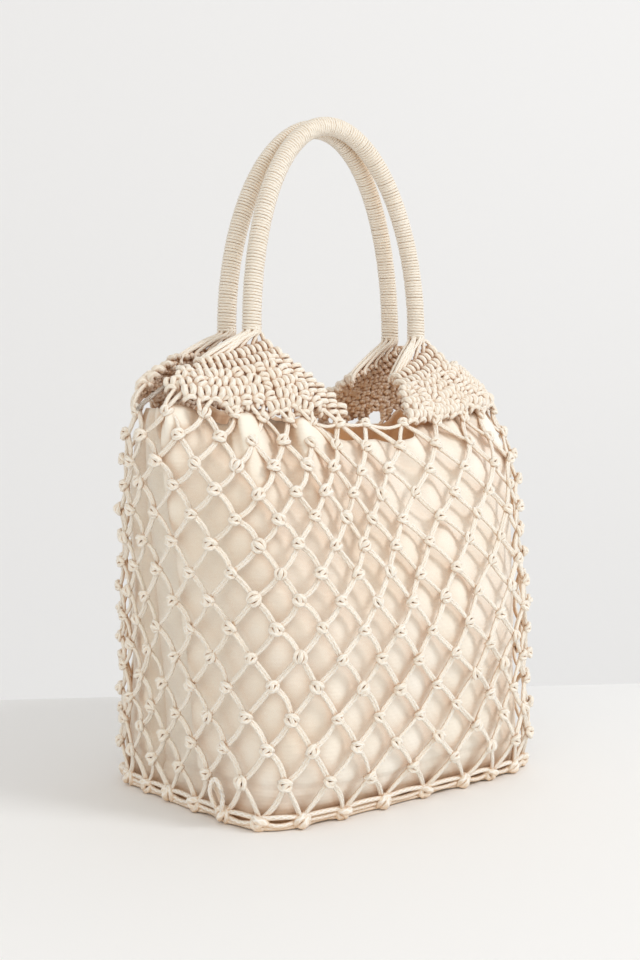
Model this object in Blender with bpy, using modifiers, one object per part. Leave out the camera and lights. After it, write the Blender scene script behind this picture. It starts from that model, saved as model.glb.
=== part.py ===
"""Cotton macrame tote bag: a canvas pouch inside a coarse knotted net, four dense shoulder
panels, four fans of cord and two wrapped handles.

Metres, +Z up. The bag stands on the XY plane, its front faces -Y, and the origin is under its
middle. Each function below builds one sub-part from the driving sizes.
"""
import math

import bmesh
import bpy
import numpy as np

# Driving sizes, in metres
BODY_HEIGHT = 0.380        # floor to the side valleys of the mouth
BELLY_WIDTH = 0.410        # side to side over the net, at the belly
BELLY_DEPTH = 0.340        # front to back over the net, at the belly
SEAT_GAP = 0.0003          # between two pieces that touch

LINER_WALL = 0.002         # canvas with its seam allowance
LINER_STAND_OFF = 0.0165   # from the outside of the net in to the canvas
LINER_SOLE_EDGE = 0.005    # radius of the fold round the sole
LINER_FLARE = 0.024        # height over which the canvas leaves the chain round the sole
LINER_FRONT_RIM = 0.343    # height of the canvas edge at the middle of the front and back
LINER_SIDE_RIM = 0.358     # height of the canvas edge at the two sides
LINER_RIM_WAVE = 0.006     # how far the canvas edge is pulled up where the net holds it
LINER_PLEAT = 0.005        # depth of the soft pleats below the edge
LINER_PLEAT_REACH = 0.070  # how far down the pleats fade out
DENT_DEPTH = 0.010         # deepest soft hollow in the canvas

RIM_CORD = 0.0048          # radius of the cord chain round the sole
RIM_KNOT_SWELL = 1.25      # its knots are this much fatter

NET_KNOT = 0.0125          # thickness of the net at a knot
NET_STRAND = 0.0070        # thickness of the paired cords halfway between two knots
NET_SIDE_TOP = 0.368       # height of the top knots at the sides
NET_FRONT_TOP = 0.354      # height of the top knots at the middle of the front and back

SHOULDER_THICKNESS = 0.008
SHOULDER_SCALLOP = 0.005   # depth of the scallops in its lower edge
SIDE_SLIT = 0.0030         # between a front and a back shoulder, at the side

SHOULDER_BULGE = 0.007     # how far a shoulder is crowned outwards
FAN_REACH = 0.060          # longest spread of the bare cords along the top of a shoulder
FAN_DROP = 0.040           # deepest place of that top edge below the handle's foot
FAN_LEAN = 0.006           # how far the top edge stands outside the handle's foot
FAN_GROOVE = 0.84          # the grooves between its cords lie at this share of its thickness

HANDLE_SPREAD = 0.2192     # between the feet of one handle
HANDLE_PITCH = 0.0402      # between the front and the back handle, at the feet
HANDLE_FOOT = 0.4435       # height of the feet
HANDLE_TOP = 0.665         # height of the top of the arch
HANDLE_THICKNESS = 0.0195
HANDLE_STRAIGHT = 0.006    # straight length above each foot
HANDLE_TOUCH = 0.0010      # between the two handles at their tops

# Plan sections over the outside of the net. Height is a share of BODY_HEIGHT, width and depth
# are shares of the belly sizes, the shift is to the right, a share of BELLY_WIDTH, and
# squareness is 2 for an ellipse and more for a box.
SECTIONS = (
    # name, height, width, depth, shift, squareness
    ("sole", 0.000, 0.900, 0.765, 0.007, 7.0),
    ("hem", 0.040, 0.920, 0.835, 0.005, 6.0),
    ("lower", 0.260, 0.961, 0.956, 0.006, 3.6),
    ("belly", 0.450, 1.000, 1.000, 0.006, 3.0),
    ("upper", 0.630, 1.054, 0.894, 0.010, 2.8),
    ("waist", 0.710, 1.099, 0.812, 0.015, 2.7),
    ("chest", 0.800, 1.140, 0.718, 0.021, 2.6),
    ("collar", 0.868, 1.170, 0.612, 0.024, 2.5),
    ("yoke", 0.934, 1.160, 0.482, 0.017, 2.4),
    ("mouth", 1.000, 1.118, 0.388, 0.008, 2.3),
)

# Levels of the canvas, as shares of the height of its edge above the same place
LINER_LEVELS = (
    # name, height
    ("seam", 0.055),
    ("low", 0.170),
    ("belly", 0.330),
    ("middle", 0.500),
    ("upper", 0.660),
    ("pleat foot", 0.800),
    ("pleat", 0.915),
    ("edge", 1.000),
)

# Hollows in the canvas. The place round the bag is a share of the way round from the middle of
# the front towards +X, the height is a share of BODY_HEIGHT, the reaches are shares of the way
# round and of BODY_HEIGHT, and the depth is a share of DENT_DEPTH.
HOLLOWS = (
    # name, round, height, reach round, reach up, depth
    ("front middle", 0.015, 0.78, 0.060, 0.12, 1.00),
    ("front right", 0.110, 0.55, 0.050, 0.30, 0.55),
    ("right gusset", 0.245, 0.60, 0.030, 0.40, 1.00),
    ("back", 0.500, 0.66, 0.100, 0.22, 0.90),
    ("left gusset", 0.800, 0.50, 0.035, 0.36, 0.90),
    ("front left", 0.915, 0.62, 0.050, 0.24, 0.70),
)

# The four quarters of the top. The reaches run along the top edge of the shoulder from the
# handle's foot, inwards and outwards, as shares of FAN_REACH, and the drops are how far below
# the foot the two ends of that edge lie, as shares of FAN_DROP.
QUARTERS = (
    # name, side, end, inner reach, inner drop, outer reach, outer drop
    ("front_right", 1, 1, 0.62, 1.00, 0.31, 0.14),
    ("front_left", -1, 1, 0.22, 0.22, 1.05, 0.78),
    ("back_right", 1, -1, 0.90, 1.00, 0.26, 0.16),
    ("back_left", -1, -1, 0.22, 0.26, 0.90, 0.64),
)

# How finely each sub-part is divided
OUTLINE_SAMPLES = 721
LINER_COLUMNS = 56
NET_COLUMNS = 16
NET_SQUARES_UP = 4
SHOULDER_SCALLOPS = 7
SHOULDER_LEVELS = 5
FAN_CORDS = 9
FAN_LEVELS = 3
HANDLE_STEPS = 24
HANDLE_TUBE_STEPS = 4      # bevel resolution of a tube with 12 sides
RIM_TUBE_STEPS = 2         # bevel resolution of a tube with 8 sides
MERGE = 0.00001            # corners closer than this are one

CANVAS_COLOUR = (0.86, 0.79, 0.68)
CORD_COLOUR = (0.87, 0.81, 0.71)


def clear_scene():
    for old in list(bpy.data.objects):
        bpy.data.objects.remove(old, do_unlink=True)


def fabric(name, colour, roughness):
    """A matt cotton finish."""
    material = bpy.data.materials.new(name)
    material.use_nodes = True
    shader = material.node_tree.nodes["Principled BSDF"]
    shader.inputs["Base Color"].default_value = (*colour, 1.0)
    shader.inputs["Roughness"].default_value = roughness
    shader.inputs["Metallic"].default_value = 0.0
    return material


def place(name, data, material, collection):
    piece = bpy.data.objects.new(name, data)
    data.materials.append(material)
    collection.objects.link(piece)
    return piece


def mesh_from(name, bm):
    mesh = bpy.data.meshes.new(name)
    bm.to_mesh(mesh)
    bm.free()
    return mesh


def face_outwards(bm):
    """Turns all faces of a closed shape the same way, out."""
    bmesh.ops.recalc_face_normals(bm, faces=bm.faces)
    if bm.calc_volume(signed=True) < 0:
        bmesh.ops.reverse_faces(bm, faces=bm.faces)


def section_at(height):
    """Half width, half depth, shift and squareness of the outside of the net at a height."""
    rows = np.array([row[1:] for row in SECTIONS])
    share = min(max(height / BODY_HEIGHT, 0.0), 1.0)
    at = min(int(np.searchsorted(rows[:, 0], share, side="right")) - 1, len(rows) - 2)
    step = rows[at + 1, 0] - rows[at, 0]
    along = (share - rows[at, 0]) / step
    slopes = np.gradient(rows, rows[:, 0], axis=0)
    ease = along * along * (3 - 2 * along)
    value = (1 - ease) * rows[at] + ease * rows[at + 1]
    value += step * along * (1 - along) ** 2 * slopes[at]
    value -= step * along ** 2 * (1 - along) * slopes[at + 1]
    width, depth, shift, squareness = value[1:]
    return width * BELLY_WIDTH / 2, depth * BELLY_DEPTH / 2, shift * BELLY_WIDTH, squareness


def wall_point(height, inset, share):
    """A point of the wall, moved in by inset. The share runs 0 to 1 round the bag, by length,
    from the middle of the front towards +X."""
    half_width, half_depth, shift, squareness = section_at(height)
    half_width -= inset
    half_depth -= inset
    turn = np.linspace(-math.pi / 2, 1.5 * math.pi, OUTLINE_SAMPLES)
    across = np.abs(np.cos(turn) / half_width) ** squareness
    along = np.abs(np.sin(turn) / half_depth) ** squareness
    radius = (across + along) ** (-1 / squareness)
    x = radius * np.cos(turn)
    y = radius * np.sin(turn)
    length = np.concatenate([[0.0], np.cumsum(np.hypot(np.diff(x), np.diff(y)))])
    place_round = (share % 1.0) * length[-1]
    x_here = float(np.interp(place_round, length, x)) + shift
    return x_here, float(np.interp(place_round, length, y))


def side_weight(share):
    """1 at the two sides of the bag and 0 at the middle of the front and the back."""
    return 0.5 - 0.5 * math.cos(4 * math.pi * share)


def between(low, high, weight):
    return low + (high - low) * weight


def net_top(share):
    return between(NET_FRONT_TOP, NET_SIDE_TOP, side_weight(share))


def rim_radius():
    """Radius of the chain round the sole at its knots."""
    return RIM_CORD * RIM_KNOT_SWELL


def build_rim(material, collection):
    """The chain of cords round the sole: one closed tube that swells at its knots."""
    curve = bpy.data.curves.new("base_rim", "CURVE")
    curve.dimensions = "3D"
    curve.bevel_depth = RIM_CORD
    curve.bevel_resolution = RIM_TUBE_STEPS
    spline = curve.splines.new("POLY")
    spline.points.add(LINER_COLUMNS - 1)
    spline.use_cyclic_u = True
    for number, point in enumerate(spline.points):
        x, y = wall_point(rim_radius(), rim_radius(), number / LINER_COLUMNS)
        point.co = (x, y, rim_radius(), 1.0)
        point.radius = RIM_KNOT_SWELL if number % 2 == 0 else 1.0
    return place("base_rim", curve, material, collection)


def hollow_depth(share, height):
    """How far the soft hollows push the canvas in at a place on the wall."""
    depth = 0.0
    for name, middle, level, reach_round, reach_up, strength in HOLLOWS:
        round_gap = abs((share - middle + 0.5) % 1.0 - 0.5) / reach_round
        up_gap = (height / BODY_HEIGHT - level) / reach_up
        depth += strength * DENT_DEPTH * math.exp(-round_gap ** 2 - up_gap ** 2)
    return depth


def liner_inset(share, height, edge):
    """Distance of the canvas in from the outside of the net."""
    foot = 2 * rim_radius() + SEAT_GAP
    rise = min(height / LINER_FLARE, 1.0)
    pleat = 0.5 - 0.5 * math.cos(math.pi * LINER_COLUMNS * share)
    fade = max(1.0 - (edge - height) / LINER_PLEAT_REACH, 0.0)
    soft = hollow_depth(share, height) * rise + LINER_PLEAT * pleat * fade
    return between(foot, LINER_STAND_OFF, rise) + soft


def build_liner(material, collection):
    """The canvas pouch: a flat sole and a wall through the levels, thickened inwards."""
    bm = bmesh.new()
    rows = len(LINER_LEVELS) + 1
    bmesh.ops.create_grid(bm, x_segments=LINER_COLUMNS, y_segments=rows, size=0.5)
    for corner in bm.verts:
        share = corner.co.x + 0.5
        row = round((corner.co.y + 0.5) * rows)
        wave = 0.5 + 0.5 * math.cos(math.pi * LINER_COLUMNS * share)
        edge = between(LINER_FRONT_RIM, LINER_SIDE_RIM, side_weight(share))
        edge += LINER_RIM_WAVE * wave
        if row == 0:
            height = 0.0
            inset = liner_inset(share, height, edge) + LINER_SOLE_EDGE
        else:
            height = LINER_SOLE_EDGE if row == 1 else edge * LINER_LEVELS[row - 2][1]
            inset = liner_inset(share, height, edge)
        if row == rows:
            height = edge
        corner.co = (*wall_point(height, inset, share), height)
    bmesh.ops.remove_doubles(bm, verts=bm.verts, dist=MERGE)
    sole = [edge for edge in bm.edges if edge.is_boundary and edge.verts[0].co.z < MERGE]
    bmesh.ops.contextual_create(bm, geom=sole)
    bmesh.ops.recalc_face_normals(bm, faces=bm.faces)
    liner = place("liner", mesh_from("liner", bm), material, collection)
    wall = liner.modifiers.new("Canvas", "SOLIDIFY")
    wall.thickness = LINER_WALL
    wall.offset = -1.0
    return liner


def lattice():
    """A drum of diamonds, 1 round and 1 high: squares that are poked and lose their own
    edges, with the half diamonds at the two ends taken away."""
    bm = bmesh.new()
    bmesh.ops.create_grid(bm, x_segments=NET_COLUMNS, y_segments=NET_SQUARES_UP, size=0.5)
    for corner in bm.verts:
        turn = 2 * math.pi * corner.co.x
        corner.co = (math.sin(turn), -math.cos(turn), corner.co.y)
    bmesh.ops.remove_doubles(bm, verts=bm.verts, dist=MERGE)
    square_edges = [edge for edge in bm.edges if not edge.is_boundary]
    bmesh.ops.poke(bm, faces=bm.faces)
    bmesh.ops.dissolve_edges(bm, edges=square_edges)
    halves = [face for face in bm.faces if len(face.verts) == 3]
    bmesh.ops.delete(bm, geom=halves, context="FACES")
    return bm


def build_net(material, collection):
    """The coarse net: the drum of diamonds becomes bars that are thickest at the knots, and
    the drum is then drawn on to the wall of the bag."""
    middle = BODY_HEIGHT / 2
    drum_radius = (BELLY_WIDTH + BELLY_DEPTH) / 4
    floor = 2 * rim_radius() + SEAT_GAP
    bm = lattice()
    halved = bmesh.ops.subdivide_edges(bm, edges=bm.edges, cuts=1)["geom_inner"]
    halfway = {item for item in halved if isinstance(item, bmesh.types.BMVert)}
    for corner in bm.verts:
        flat = math.hypot(corner.co.x, corner.co.y)
        scale = drum_radius / flat
        corner.co = (corner.co.x * scale, corner.co.y * scale,
                     corner.co.z * (NET_FRONT_TOP - floor) + middle)
    bm.verts.index_update()
    knot_numbers = [corner.index for corner in bm.verts if corner not in halfway]
    strand_numbers = [corner.index for corner in halfway]
    drum = place("drum", mesh_from("drum", bm), material, collection)
    group = drum.vertex_groups.new(name="Thickness")
    group.add(knot_numbers, 1.0, "REPLACE")
    group.add(strand_numbers, NET_STRAND / NET_KNOT, "REPLACE")
    bars = drum.modifiers.new("Bars", "WIREFRAME")
    bars.thickness = NET_KNOT
    bars.vertex_group = group.name
    bars.use_boundary = True
    bars.use_even_offset = True
    bpy.context.view_layer.update()
    solid = bpy.data.meshes.new_from_object(drum.evaluated_get(
        bpy.context.evaluated_depsgraph_get()))
    bpy.data.objects.remove(drum, do_unlink=True)
    low = min(corner.co.z for corner in solid.vertices)
    high = max(corner.co.z for corner in solid.vertices)
    outside = max(math.hypot(corner.co.x, corner.co.y) for corner in solid.vertices)
    for corner in solid.vertices:
        share = (math.atan2(corner.co.x, -corner.co.y) / (2 * math.pi)) % 1.0
        inset = outside - math.hypot(corner.co.x, corner.co.y)
        height = between(floor, net_top(share), (corner.co.z - low) / (high - low))
        corner.co = (*wall_point(height, inset, share), height)
    return place("net", solid, material, collection)


def top_edge(quarter, across, inset):
    """A point of the top edge of a shoulder, as if it were the front right one. Across runs
    from 0 at its inner end to 1 at its outer end."""
    name, side, end, inner_reach, inner_drop, outer_reach, outer_drop = quarter
    x = HANDLE_SPREAD / 2 + between(-inner_reach, outer_reach, across) * FAN_REACH
    y = inset - HANDLE_PITCH / 2 - FAN_LEAN
    z = HANDLE_FOOT - SEAT_GAP - between(inner_drop, outer_drop, across) * FAN_DROP
    return x, y, z


def wall_quarter(quarter, height, inset, across):
    """A point of the wall in a quarter of the bag, drawn as if it were the front right one.
    Across runs from the first scallop beside the middle to the side of the bag."""
    side, end = quarter[1:3]
    scallop = 1 / (4 * (SHOULDER_SCALLOPS + 1))
    share = between(scallop, 0.25, across)
    real_share = share if side == end else 1 - share
    if end < 0:
        real_share += 0.5
    x, y = wall_point(height, inset, real_share)
    return side * x, end * y, real_share


def shoulder_point(quarter, across, up, inset):
    """A point of a shoulder, as if it were the front right one: from the top knots of the
    net to the cords of its fan."""
    real_share = wall_quarter(quarter, BODY_HEIGHT, 0.0, across)[2]
    low = net_top(real_share) + SEAT_GAP
    x, y, real_share = wall_quarter(quarter, low, inset, across)
    y = min(y, -SIDE_SLIT / 2)
    wave = 0.5 - 0.5 * math.cos(2 * math.pi * SHOULDER_SCALLOPS * across)
    low += SHOULDER_SCALLOP * wave * (1 - up) ** 2
    top_x, top_y, top_z = top_edge(quarter, across, inset)
    crown = 4 * SHOULDER_BULGE * up * (1 - up)
    return (between(x, top_x, up) + across * crown, between(y, top_y, up) - crown,
            between(low, top_z, up))


def build_shoulder(quarter, material, collection):
    """A dense panel of square knots: a slab of squares bent into its place."""
    side, end = quarter[1:3]
    columns = 2 * SHOULDER_SCALLOPS
    bm = bmesh.new()
    bmesh.ops.create_grid(bm, x_segments=columns, y_segments=SHOULDER_LEVELS, size=0.5)
    slab = bmesh.ops.extrude_face_region(bm, geom=list(bm.faces), use_keep_orig=True)
    inner = [item for item in slab["geom"] if isinstance(item, bmesh.types.BMVert)]
    bmesh.ops.translate(bm, verts=inner, vec=(0, 0, 1))
    for corner in bm.verts:
        across = corner.co.x + 0.5
        up = corner.co.y + 0.5
        x, y, z = shoulder_point(quarter, across, up, corner.co.z * SHOULDER_THICKNESS)
        corner.co = (side * x, end * y, z)
    face_outwards(bm)
    name = f"shoulder_{quarter[0]}"
    return place(name, mesh_from(name, bm), material, collection)


def build_fan(quarter, material, collection):
    """The cords that leave a handle and spread along a shoulder, as one ribbed flare: rings
    from the round foot of the handle down to the top edge of the shoulder."""
    side, end = quarter[1:3]
    sides = 2 * FAN_CORDS
    bm = bmesh.new()
    ring = bmesh.ops.create_circle(bm, segments=sides, radius=1.0, cap_ends=True)["verts"]
    rings = [{corner: number for number, corner in enumerate(ring)}]
    for level in range(FAN_LEVELS):
        last = rings[-1]
        loop = [edge for edge in bm.edges if edge.verts[0] in last and edge.verts[1] in last]
        grown = bmesh.ops.extrude_edge_only(bm, edges=loop)["geom"]
        added = {item for item in grown if isinstance(item, bmesh.types.BMVert)}
        rings.append({edge.other_vert(corner): last[corner] for corner in last
                      for edge in corner.link_edges if edge.other_vert(corner) in added})
    bmesh.ops.contextual_create(bm, geom=list(rings[-1]))
    radius = HANDLE_THICKNESS / 2
    for level, numbers in enumerate(rings):
        down = level / FAN_LEVELS
        for corner, number in numbers.items():
            turn = 2 * math.pi * number / sides
            rib = 1.0 if number % 2 == 0 else FAN_GROOVE
            foot = (HANDLE_SPREAD / 2 + rib * radius * math.cos(turn),
                    rib * radius * math.sin(turn) - HANDLE_PITCH / 2,
                    HANDLE_FOOT - SEAT_GAP)
            across = 0.5 + 0.5 * math.cos(turn)
            depth = SHOULDER_THICKNESS * (0.5 + 0.5 * rib * math.sin(turn))
            seat_x, seat_y, seat_z = top_edge(quarter, across, depth)
            corner.co = (side * between(foot[0], seat_x, down),
                         end * between(foot[1], seat_y, down),
                         between(foot[2], seat_z + SEAT_GAP, down))
    face_outwards(bm)
    name = f"fan_{quarter[0]}"
    return place(name, mesh_from(name, bm), material, collection)


def build_handle(name, end, material, collection):
    """A wrapped handle: an arch of round tube whose top leans against the other handle."""
    curve = bpy.data.curves.new(name, "CURVE")
    curve.dimensions = "3D"
    curve.bevel_depth = HANDLE_THICKNESS / 2
    curve.bevel_resolution = HANDLE_TUBE_STEPS
    curve.use_fill_caps = True
    springing = HANDLE_FOOT + HANDLE_STRAIGHT
    rise = HANDLE_TOP - HANDLE_THICKNESS / 2 - springing
    foot_y = HANDLE_PITCH / 2
    top_y = (HANDLE_THICKNESS + HANDLE_TOUCH) / 2
    route = [(HANDLE_SPREAD / 2, foot_y, HANDLE_FOOT)]
    for step in range(HANDLE_STEPS + 1):
        turn = math.pi * step / HANDLE_STEPS
        lean = math.sin(turn) ** 2
        route.append((math.cos(turn) * HANDLE_SPREAD / 2, between(foot_y, top_y, lean),
                      springing + rise * math.sin(turn)))
    route.append((-HANDLE_SPREAD / 2, foot_y, HANDLE_FOOT))
    spline = curve.splines.new("POLY")
    spline.points.add(len(route) - 1)
    for point, (x, y, z) in zip(spline.points, route):
        point.co = (x, end * y, z, 1.0)
    return place(name, curve, material, collection)


def centre_outline(collection):
    """Hangs the pieces on an empty that puts the origin under the middle of the net, which
    leans a little to the right of the sole and the handles."""
    across = [corner.co.x for corner in collection.objects["net"].data.vertices]
    pieces = list(collection.objects)
    stand = bpy.data.objects.new("stand", None)
    collection.objects.link(stand)
    stand.location.x = -(min(across) + max(across)) / 2
    for piece in pieces:
        piece.parent = stand


def build():
    clear_scene()
    collection = bpy.data.collections.new("macrame_bag")
    bpy.context.scene.collection.children.link(collection)
    canvas = fabric("Cotton canvas", CANVAS_COLOUR, 0.92)
    cord = fabric("Cotton cord", CORD_COLOUR, 0.90)
    build_rim(cord, collection)
    build_liner(canvas, collection)
    build_net(cord, collection)
    build_handle("handle_front", -1, cord, collection)
    build_handle("handle_back", 1, cord, collection)
    for quarter in QUARTERS:
        build_shoulder(quarter, cord, collection)
        build_fan(quarter, cord, collection)
    centre_outline(collection)


build()
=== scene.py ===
# %% [markdown]
# # A cotton macrame tote bag
#
# The bag is a canvas pouch inside a coarse net of knotted cord. Above the net stand four dense
# shoulders of square knots. From each shoulder a fan of bare cords climbs into one end of a
# round handle, which is wrapped in the same cord. This lesson dresses the plain solids of the
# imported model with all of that, piece by piece.

# %% Load the frame
import math
import random

import bmesh
import bpy
import numpy as np
from mathutils import Matrix, Vector


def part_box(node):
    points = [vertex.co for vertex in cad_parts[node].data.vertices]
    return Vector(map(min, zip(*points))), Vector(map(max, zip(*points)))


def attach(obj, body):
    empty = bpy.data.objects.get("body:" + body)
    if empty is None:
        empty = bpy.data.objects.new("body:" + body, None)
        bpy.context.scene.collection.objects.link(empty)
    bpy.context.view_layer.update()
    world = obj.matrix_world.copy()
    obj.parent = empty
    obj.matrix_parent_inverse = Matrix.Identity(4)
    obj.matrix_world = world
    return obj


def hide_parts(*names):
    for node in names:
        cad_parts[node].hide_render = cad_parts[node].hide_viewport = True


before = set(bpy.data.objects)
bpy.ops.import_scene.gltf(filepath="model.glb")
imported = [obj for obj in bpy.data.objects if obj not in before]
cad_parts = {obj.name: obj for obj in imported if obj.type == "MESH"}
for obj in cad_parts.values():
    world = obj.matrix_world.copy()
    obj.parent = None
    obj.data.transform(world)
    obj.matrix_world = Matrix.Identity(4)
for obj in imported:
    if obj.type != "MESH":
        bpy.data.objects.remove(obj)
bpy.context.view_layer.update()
print("solids in the frame:", ", ".join(sorted(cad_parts)))

# %% [markdown]
# ## The driving sizes
#
# Every piece has to lie where its solid lies. So the lesson repeats the few sizes that the
# solids were made from, in metres, and works the rest out from them. In the end the solids were
# moved sideways, to stand in the middle of the grid. The box of a handle tells us how far.

# %% Sizes of the bag
BODY_HEIGHT = 0.380
BELLY_LEVEL = 0.170
BELLY_WIDTH = 0.410
BELLY_DEPTH = 0.340
NET_FRONT_TOP = 0.354
NET_SIDE_TOP = 0.368
HANDLE_SPREAD = 0.2192
HANDLE_PITCH = 0.0402
HANDLE_FOOT = 0.4435
HANDLE_TOP = 0.665
HANDLE_THICKNESS = 0.0195
HANDLE_STRAIGHT = 0.006
HANDLE_TOUCH = 0.0010

low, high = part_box("handle_front")
STAND_SHIFT = (low.x + high.x) / 2
print(f"the solids stand {STAND_SHIFT * 1000:.1f} mm off their own middle")

# %% [markdown]
# ## The camera
#
# The photograph was taken from the front left, at the height of the bag's mouth. A level camera
# keeps upright lines upright. To look down a little without tilting, the lens is shifted, as on
# a view camera.

# %% Camera
IMAGE_HEIGHT = 960
CAMERA_PLACE = (-0.8812, -1.0167, 0.3649)
CAMERA_TURN = math.radians(40.45)     # from straight ahead, +Y, towards +X
FOCAL_PIXELS = 1315.1
HORIZON_ROW = 413.3
SENSOR = 36.0


def add_object(name, data):
    thing = bpy.data.objects.new(name, data)
    bpy.context.scene.collection.objects.link(thing)
    return thing


lens = bpy.data.cameras.new("photo_camera")
lens.sensor_fit = "VERTICAL"
lens.sensor_height = SENSOR
lens.lens = FOCAL_PIXELS / IMAGE_HEIGHT * SENSOR
lens.shift_y = (HORIZON_ROW - IMAGE_HEIGHT / 2) / IMAGE_HEIGHT
camera = add_object("photo_camera", lens)
camera.location = CAMERA_PLACE
camera.rotation_euler = (math.pi / 2, 0.0, -CAMERA_TURN)
bpy.context.scene.camera = camera
print(f"a {lens.lens:.1f} mm lens, shifted {lens.shift_y:.3f}")

# %% [markdown]
# ## The wall of the bag
#
# Seen from above the bag is a rounded box low down and a flat oval at its mouth. One table of
# plan sections says so, and one function reads it. A place on the wall is a share of the way
# round, from the middle of the front towards +X, a height, and a distance in from the outside
# of the net.

# %% Plan sections
SECTIONS = (
    # name, height, width, depth, shift, squareness
    ("sole", 0.000, 0.900, 0.765, 0.007, 7.0),
    ("hem", 0.040, 0.920, 0.835, 0.005, 6.0),
    ("lower", 0.260, 0.961, 0.956, 0.006, 3.6),
    ("belly", 0.450, 1.000, 1.000, 0.006, 3.0),
    ("upper", 0.630, 1.054, 0.894, 0.010, 2.8),
    ("waist", 0.710, 1.099, 0.812, 0.015, 2.7),
    ("chest", 0.800, 1.140, 0.718, 0.021, 2.6),
    ("collar", 0.868, 1.170, 0.612, 0.024, 2.5),
    ("yoke", 0.934, 1.160, 0.482, 0.017, 2.4),
    ("mouth", 1.000, 1.118, 0.388, 0.008, 2.3),
)
OUTLINE_TURN = np.linspace(-math.pi / 2, 1.5 * math.pi, 721)


def between(start, end, weight):
    return start + (end - start) * weight


def distance_along(points):
    """How far along a line of points each of them lies."""
    steps = np.linalg.norm(np.diff(points, axis=0), axis=1)
    return np.concatenate([[0.0], np.cumsum(steps)])


def smooth_between(rows, slopes, at, step, along):
    """A place on the smooth curve from a row to the next one, a step further on."""
    ease = along * along * (3 - 2 * along)
    return ((1 - ease) * rows[at] + ease * rows[at + 1]
            + step * along * (1 - along) ** 2 * slopes[at]
            - step * along ** 2 * (1 - along) * slopes[at + 1])


def section_at(height):
    """Half width, half depth, shift and squareness of the outside of the net at a height."""
    rows = np.array([row[1:] for row in SECTIONS])
    share = min(max(height / BODY_HEIGHT, 0.0), 1.0)
    at = min(int(np.searchsorted(rows[:, 0], share, side="right")) - 1, len(rows) - 2)
    step = rows[at + 1, 0] - rows[at, 0]
    slopes = np.gradient(rows, rows[:, 0], axis=0)
    section = smooth_between(rows, slopes, at, step, (share - rows[at, 0]) / step)
    width, depth, shift, squareness = section[1:]
    return width * BELLY_WIDTH / 2, depth * BELLY_DEPTH / 2, shift * BELLY_WIDTH, squareness


def wall_point(share, height, inset):
    """A point of the wall, in metres."""
    half_width, half_depth, shift, squareness = section_at(height)
    half_width -= inset
    half_depth -= inset
    across = np.abs(np.cos(OUTLINE_TURN) / half_width) ** squareness
    along = np.abs(np.sin(OUTLINE_TURN) / half_depth) ** squareness
    radius = (across + along) ** (-1 / squareness)
    x = radius * np.cos(OUTLINE_TURN)
    y = radius * np.sin(OUTLINE_TURN)
    length = np.concatenate([[0.0], np.cumsum(np.hypot(np.diff(x), np.diff(y)))])
    here = (share % 1.0) * length[-1]
    return np.array([np.interp(here, length, x) + shift + STAND_SHIFT,
                     np.interp(here, length, y), height])


def side_weight(share):
    """1 at the two sides of the bag and 0 at the middle of the front and the back."""
    return 0.5 - 0.5 * math.cos(4 * math.pi * share)


def net_top(share):
    return between(NET_FRONT_TOP, NET_SIDE_TOP, side_weight(share))


belly = [wall_point(share, BELLY_LEVEL, 0.0) for share in np.arange(33) / 64]
girth = 2 * distance_along(belly)[-1]
print(f"the belly is {girth:.2f} m round")

# %% [markdown]
# ## Making cord
#
# A tube can be swept along a curve, but there are thousands of short cords here. So one
# straight cord is made with bmesh operators and copied for each cord of a piece, and the copies
# are bent along their routes. Each corner keeps its place on the straight cord in an attribute
# called "straight". The cotton material reads it, so its fibres follow every bend.

# %% A straight cord, bent along routes


def new_piece(name, bm):
    """Turns a bmesh into an object of the scene, and frees it."""
    mesh = bpy.data.meshes.new(name)
    bm.to_mesh(mesh)
    bm.free()
    return add_object(name, mesh)


def straight_cord(sides, rings):
    """A closed cord of radius 1 and length 1, standing on the grid, with rings to bend at."""
    bm = bmesh.new()
    bmesh.ops.create_cone(bm, cap_ends=True, segments=sides, radius1=1.0, radius2=1.0, depth=1.0)
    bmesh.ops.translate(bm, verts=bm.verts, vec=(0, 0, 0.5))
    upright = [edge for edge in bm.edges if abs(edge.verts[0].co.z - edge.verts[1].co.z) > 0.5]
    bmesh.ops.subdivide_edges(bm, edges=upright, cuts=rings - 2)
    mesh = bpy.data.meshes.new("straight_cord")
    bm.to_mesh(mesh)
    bm.free()
    return mesh


def unit(vectors):
    return vectors / np.maximum(np.linalg.norm(vectors, axis=-1, keepdims=True), 1e-9)


def bend(pattern, route, radii, front):
    """Places of a straight cord's corners on a route, and their places before the bend. Front
    is a direction that the cord's own x axis keeps to, one for the route or one a point."""
    route = np.asarray(route, float)
    tangent = unit(np.gradient(route, axis=0))
    y_axis = unit(np.cross(tangent, np.broadcast_to(front, route.shape)))
    x_axis = np.cross(y_axis, tangent)
    length = distance_along(route)
    ring = np.rint(pattern[:, 2] * (len(route) - 1)).astype(int)
    radius = np.broadcast_to(radii, len(route))[ring][:, None]
    place = (route[ring] + pattern[:, 0:1] * radius * x_axis[ring]
             + pattern[:, 1:2] * radius * y_axis[ring])
    straight = np.column_stack([pattern[:, :2] * radius, length[ring]])
    return place, straight


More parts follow.
